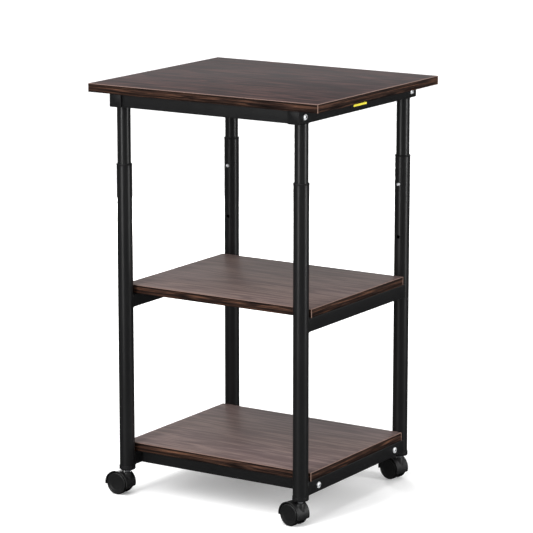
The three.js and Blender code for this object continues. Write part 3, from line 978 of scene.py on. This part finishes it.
def hood_shell(inner, outer, half):
    """A thin section with a bead along both rims, swept round the axle, its lower corners rounded."""
    crest = outer + HOOD_BEAD
    rim = [
        (inner, half, 0.4 * MM), (crest, half, 0.6 * MM),
        (crest, half - 1.6 * MM, 0.5 * MM), (outer, half - 2 * MM, 0.5 * MM),
    ]
    section = fillet([(r, -y, edge) for r, y, edge in rim] + rim[::-1], 0, 3)
    dense = []
    for i, point in enumerate(section):
        after = section[(i + 1) % len(section)]
        parts = max(1, round((after - point).length / HOOD_GRID))
        dense += [point.lerp(after, k / parts) for k in range(parts)]
    bm = bmesh.new()
    rings = []
    for k in range(HOOD_STEPS + 1):
        ring = []
        for r, y in dense:
            near_rim = max(0.0, (abs(y) - (half - HOOD_RIM_WIDTH)) / HOOD_RIM_WIDTH)
            pull = HOOD_RIM_PULL * (1 - math.sqrt(max(0.0, 1 - near_rim ** 2)))
            t = (HOOD_FROM + pull) + (HOOD_TO - HOOD_FROM - 2 * pull) * k / HOOD_STEPS
            ring.append(bm.verts.new((r * math.cos(t), y, r * math.sin(t))))
        rings.append(ring)
    skin(bm, rings, caps=True)
    return bm


# The neck's fillet reaches out this far, but not past the hood's rim, and sinks a little into the hood.
NECK_FOOT = 12 * MM
NECK_RIM_GAP = 0.6 * MM
NECK_SINK = 0.25 * MM
NECK_FILLET_RISE = 1.3
NECK_COLUMNS = 64


def hood_neck(radius, top, outer, trail, axle_z):
    """The round neck on the hood, with a fillet that follows the hood's curve all the way round."""
    def roof(x):
        return axle_z + math.sqrt(max(0.0, outer ** 2 - min(x + trail, outer) ** 2))

    steps = 7
    bm = bmesh.new()
    rings = [[] for _ in range(steps + 5)]
    for k in range(NECK_COLUMNS):
        phi = 2 * math.pi * k / NECK_COLUMNS
        c, s = math.cos(phi), math.sin(phi)
        foot = NECK_FOOT
        if c > 0:
            foot = min(foot, (outer - NECK_RIM_GAP - trail) / c)
        ground = roof(foot * c) - NECK_SINK
        wall = min(roof(radius * c) + NECK_FILLET_RISE * (foot - radius), top - 1.5 * MM)
        column = [(radius - 0.5 * MM, top), (radius - 0.15 * MM, top - 0.15 * MM), (radius, top - 0.5 * MM)]
        for i in range(steps + 1):
            t = math.pi / 2 * i / steps
            out = radius + (foot - radius) * (1 - math.cos(t))
            column.append((out, wall + (ground - wall) * math.sin(t)))
        column.append((foot - 0.3 * MM, roof(foot * c) - 1.2 * MM))
        for ring, (r, z) in zip(rings, column):
            ring.append(bm.verts.new((r * c, r * s, z)))
    skin(bm, [[bm.verts.new((0, 0, top))], *rings, [bm.verts.new((0, 0, axle_z + 6 * MM))]])
    return bm


HOOD_HALF = 17.8 * MM
WEB_HALF = 3 * MM
WEB_LOWER_EDGE = ((-14 * MM, -8 * MM), (14 * MM, -10 * MM))


def caster_housing(corner, place, trail, axle_z, wheel_r):
    """The moulded body of a caster: a hood over both wheels, a web between them and the stem's neck."""
    node = f"caster_housing_{corner}"
    outer = wheel_r + 3 * MM
    inner = wheel_r + MM
    top = 49 * MM
    axle = Matrix.Translation((-trail, 0, axle_z))
    turns = [HOOD_FROM + (HOOD_TO - HOOD_FROM) * k / 36 for k in range(37)]
    outline = [((outer - MM) * math.cos(t), (outer - MM) * math.sin(t)) for t in turns]
    outline += WEB_LOWER_EDGE
    shell = moved(hood_shell(inner, outer, HOOD_HALF), axle)
    web = moved(extruded(outline, [-WEB_HALF, WEB_HALF]), axle)
    axle_boss = moved(cylinder(5.5 * MM, -6.1 * MM, 6.1 * MM, "Y"), axle)
    stem_boss = cylinder(6.1 * MM, 20 * MM, top - MM)
    wheel_space = cylinder(inner + 0.4 * MM, -30 * MM, 30 * MM, "Y", (-trail, 0, axle_z), 96)
    neck = carved(hood_neck(8 * MM, top, outer, trail, axle_z), [wheel_space])
    whole = carved(shell, [web, axle_boss, stem_boss, neck], "UNION")
    stem_bore = cylinder(4.1 * MM, 28 * MM, top + MM)
    axle_bore = cylinder(2.6 * MM, -10 * MM, 10 * MM, "Y", (-trail, 0, axle_z))
    whole = moved(carved(whole, [stem_bore, axle_bore]), place)
    piece(node + "_moulded", whole, NYLON, f"caster_{corner}", [node], sharp=30)


def caster_wheel(corner, key, place, wheel_r):
    """A wheel with a rounded tread, a stepped hub cover and a hollow back, its outer face towards +Z."""
    node = f"caster_wheel_{corner}_{key}"
    depth = 11.0 * MM
    bore, hub, cup = 2.6 * MM, 5.5 * MM, 20.3 * MM
    web = depth - 3.0 * MM
    disc = wheel_r - 1.1 * MM
    panel = depth - 0.3 * MM
    outline = [
        (0, depth - 2.2 * MM, 0), (bore, depth - 2.2 * MM, 0), (bore, 0, 0.2 * MM), (hub, 0, 0.3 * MM),
        (hub, web, 0.8 * MM), (cup, web, 0.8 * MM), (cup, 0, 0.3 * MM),
        (wheel_r - 0.6 * MM, 0, 0.5 * MM), (wheel_r, 0.9 * MM, 0.5 * MM),
        (wheel_r, depth - 3.4 * MM, 0.4 * MM), (disc, web, 0.1 * MM),
        (disc, depth, 1.4 * MM), (wheel_r - 4.2 * MM, depth, 0.4 * MM),
        (wheel_r - 4.9 * MM, panel, 0.4 * MM), (15.0 * MM, panel, 0.6 * MM),
        (14.2 * MM, depth - 0.6 * MM, 0.6 * MM), (0, depth - 0.6 * MM, 0),
    ]
    bm = moved(revolved(fillet(outline, 0, 4), 96), place)
    body = f"wheel_{corner}_{key}"
    wheel = piece(node + "_moulded", bm, WHEEL_FACE, body, [node], sharp=40)
    wheel.data.materials.append(TREAD)
    back = place.inverted()
    for face in wheel.data.polygons:
        if (back @ face.center).xy.length > disc - 0.2 * MM:
            face.material_index = 1


AXLE_HALF = 14.6 * MM
AXLE_RADIUS = 2.5 * MM
WHEEL_INNER_FACE = 6.6 * MM


def caster(corner):
    x, y = leg_axis(corner)
    roll = joint(f"roll_{corner}_a")
    swivel = math.atan2(-roll["axis"][0], roll["axis"][1])
    axle = Vector(roll["pos_m"])
    trail = (Vector((x, y)) - axle.xy).length
    wheel_r = axle.z
    place = along_z(x, y, 0, swivel)
    caster_housing(corner, place, trail, axle.z, wheel_r)
    rim, end = AXLE_RADIUS - 0.3 * MM, AXLE_HALF - 0.4 * MM
    pin = revolved([
        (0, -AXLE_HALF), (rim, -AXLE_HALF), (AXLE_RADIUS, -end),
        (AXLE_RADIUS, end), (rim, AXLE_HALF), (0, AXLE_HALF),
    ], 40)
    node = f"caster_axle_{corner}"
    at_axle = place @ Matrix.Translation((-trail, 0, axle.z))
    piece(node + "_steel", moved(pin, at_axle @ AXIS_Y), ZINC, f"caster_{corner}", [node])
    for key, way in (("a", -1), ("b", 1)):
        turn = Matrix.Rotation(-way * math.pi / 2, 4, "X")
        face = at_axle @ Matrix.Translation((0, way * WHEEL_INNER_FACE, 0)) @ turn
        caster_wheel(corner, key, face, wheel_r)


# ---- label ----

LABEL_CORNER = 1.4 * MM
LABEL_EDGE = (0.15 * MM, 2)
LABEL_BAND = (26 * MM, 3.6 * MM)
LABEL_BAND_CORNER = 0.8 * MM
INK_THICKNESS = 0.06 * MM


def label():
    """A black film with a plain yellow band, on the right top rail."""
    low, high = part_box("label_plate")
    centre = (low + high) / 2
    face = low.x - high.x
    outline = fillet(rectangle((high.y - low.y) / 2, (high.z - low.z) / 2), LABEL_CORNER, 6)
    place = Matrix.Translation((low.x, centre.y, centre.z)) @ Matrix.Rotation(math.pi / 2, 4, "Z")
    plate = moved(extruded(outline, [0, face]), place)
    piece("label_plate_film", plate, FILM, "upper_frame", ["label_plate"], soften=LABEL_EDGE)
    bar = fillet(rectangle(*LABEL_BAND), LABEL_BAND_CORNER, 5)
    ink = extruded(bar, [face, face - INK_THICKNESS])
    piece("label_band_print", moved(ink, place), INK, "upper_frame")


# ---- floor, light, camera ----

SKY = 0.5
SOFTBOX_AIM = 0.45
FLOOR_FLAT_RADIUS = 14.0
FLOOR_RIM_RADIUS = 6.0
FLOOR_GLOW = 0.18


def studio():
    """A white floor with a swept-up rim. Gloss reflects the sky and the lights, but not the floor."""
    scene = bpy.context.scene
    scene.view_settings.view_transform = "Standard"
    world = bpy.data.worlds.new("studio")
    scene.world = world
    world.use_nodes = True
    tree = world.node_tree
    height = tree.nodes.new("ShaderNodeSeparateXYZ")
    tree.links.new(tree.nodes.new("ShaderNodeTexCoord").outputs["Generated"], height.inputs[0])
    sky = tree.nodes.new("ShaderNodeMapRange")
    tree.links.new(height.outputs["Z"], sky.inputs["Value"])
    for key, value in (("From Min", -0.12), ("From Max", 0.06), ("To Min", 0.04), ("To Max", SKY)):
        sky.inputs[key].default_value = value
    background = tree.nodes["Background"]
    background.inputs["Color"].default_value = (1, 1, 1, 1)
    tree.links.new(sky.outputs["Result"], background.inputs["Strength"])

    rim = [math.radians(angle) for angle in range(0, 85, 4)]
    profile = [(0, 0)]
    profile += [(FLOOR_FLAT_RADIUS + FLOOR_RIM_RADIUS * math.sin(t), FLOOR_RIM_RADIUS * (1 - math.cos(t)))
                for t in rim]
    floor = to_object("floor", revolved(profile, 96))
    floor.data.shade_smooth()
    n = Nodes("floor_pale")
    paper = n.shade(
        Base_Color=n.mix(n.noise(0.8, n.place(), 2), (0.90, 0.90, 0.90), (0.92, 0.92, 0.92)),
        Roughness=0.9,
        Specular_IOR_Level=0.0,
        Emission_Color=(1.0, 1.0, 1.0),
        Emission_Strength=FLOOR_GLOW,
    )
    paper.cycles.emission_sampling = "NONE"
    floor.data.materials.append(paper)
    floor.visible_glossy = False


def direction(azimuth, elevation):
    """From the stand towards a light or the camera. Azimuth 0 is in front of it and 90 on its right."""
    level = math.cos(elevation)
    return Vector((math.sin(azimuth) * level, -math.cos(azimuth) * level, math.sin(elevation)))


def sun(name, azimuth, elevation, strength, spread):
    light = bpy.data.lights.new(name, "SUN")
    light.energy = strength
    light.angle = math.radians(spread)
    obj = bpy.data.objects.new(name, light)
    towards = direction(math.radians(azimuth), math.radians(elevation))
    obj.rotation_euler = towards.to_track_quat("Z", "Y").to_euler()
    obj.location = towards * 4
    bpy.context.scene.collection.objects.link(obj)


def softbox(name, azimuth, height, distance, size, power):
    """An upright rectangular light that faces the stand."""
    light = bpy.data.lights.new(name, "AREA")
    light.shape = "RECTANGLE"
    light.size, light.size_y = size
    light.energy = power
    obj = bpy.data.objects.new(name, light)
    a = math.radians(azimuth)
    obj.location = (distance * math.sin(a), -distance * math.cos(a), height)
    obj.rotation_euler = (Vector((0, 0, SOFTBOX_AIM)) - obj.location).to_track_quat("-Z", "Y").to_euler()
    obj.visible_camera = False
    bpy.context.scene.collection.objects.link(obj)
    return obj


def link_light(light, objects, state):
    """INCLUDE: the light reaches only these objects. EXCLUDE: it reaches everything but them."""
    receivers = bpy.data.collections.new(f"{light.name}_receivers")
    for obj in objects:
        receivers.objects.link(obj)
    light.light_linking.receiver_collection = receivers
    for entry in receivers.collection_objects:
        entry.light_linking.link_state = state


def lights():
    """Softboxes for the frame's highlights, and the same ones without glare for the boards' faces."""
    sun("overhead", -20, 68, 2.1, 50)
    boards = [o for o in bpy.data.objects if "_panel" in o.name or "_edge_band_" in o.name]
    for name, azimuth, height, distance, size, power in (
        ("softbox_left", -6, 1.35, 3.2, (0.45, 2.9), 78),
        ("softbox_right", 100, 1.1, 3.2, (0.45, 2.4), 66),
        ("softbox_rear", 222, 1.1, 3.2, (0.45, 2.4), 60),
    ):
        link_light(softbox(name, azimuth, height, distance, size, power), boards, "EXCLUDE")
        if name != "softbox_rear":
            matt = softbox(name + "_boards", azimuth, height, distance, size, power)
            matt.visible_glossy = False
            link_light(matt, boards, "INCLUDE")


CAMERA_AZIMUTH = math.radians(32.54)
CAMERA_ELEVATION = math.radians(11.88)
CAMERA_DISTANCE = 5.787
CAMERA_LENS = 186.7


def camera():
    back = direction(CAMERA_AZIMUTH, CAMERA_ELEVATION)
    right = Vector((math.cos(CAMERA_AZIMUTH), math.sin(CAMERA_AZIMUTH), 0))
    target = Vector((0, 0, 0.436)) + right * 0.0036 + back.cross(right) * 0.041
    data = bpy.data.cameras.new("camera")
    data.sensor_width = 36
    data.lens = CAMERA_LENS
    data.clip_end = 200
    obj = bpy.data.objects.new("camera", data)
    obj.location = target + back * CAMERA_DISTANCE
    obj.rotation_euler = back.to_track_quat("Z", "Y").to_euler()
    bpy.context.scene.collection.objects.link(obj)
    bpy.context.scene.camera = obj


for board_name, board_body in (
    ("top_board", "upper_frame"), ("middle_shelf", "lower_frame"), ("bottom_shelf", "lower_frame")
):
    board(board_name, board_body)
side_rails()
cross_rails()
rail_end_caps()
saddle_welds()
post_welds()
legs()
lock_buttons()
rail_bolts()
board_screws()
for corner_name in CORNERS:
    leg_plug(corner_name)
    caster_stem(corner_name)
    caster(corner_name)
label()

studio()
lights()
camera()
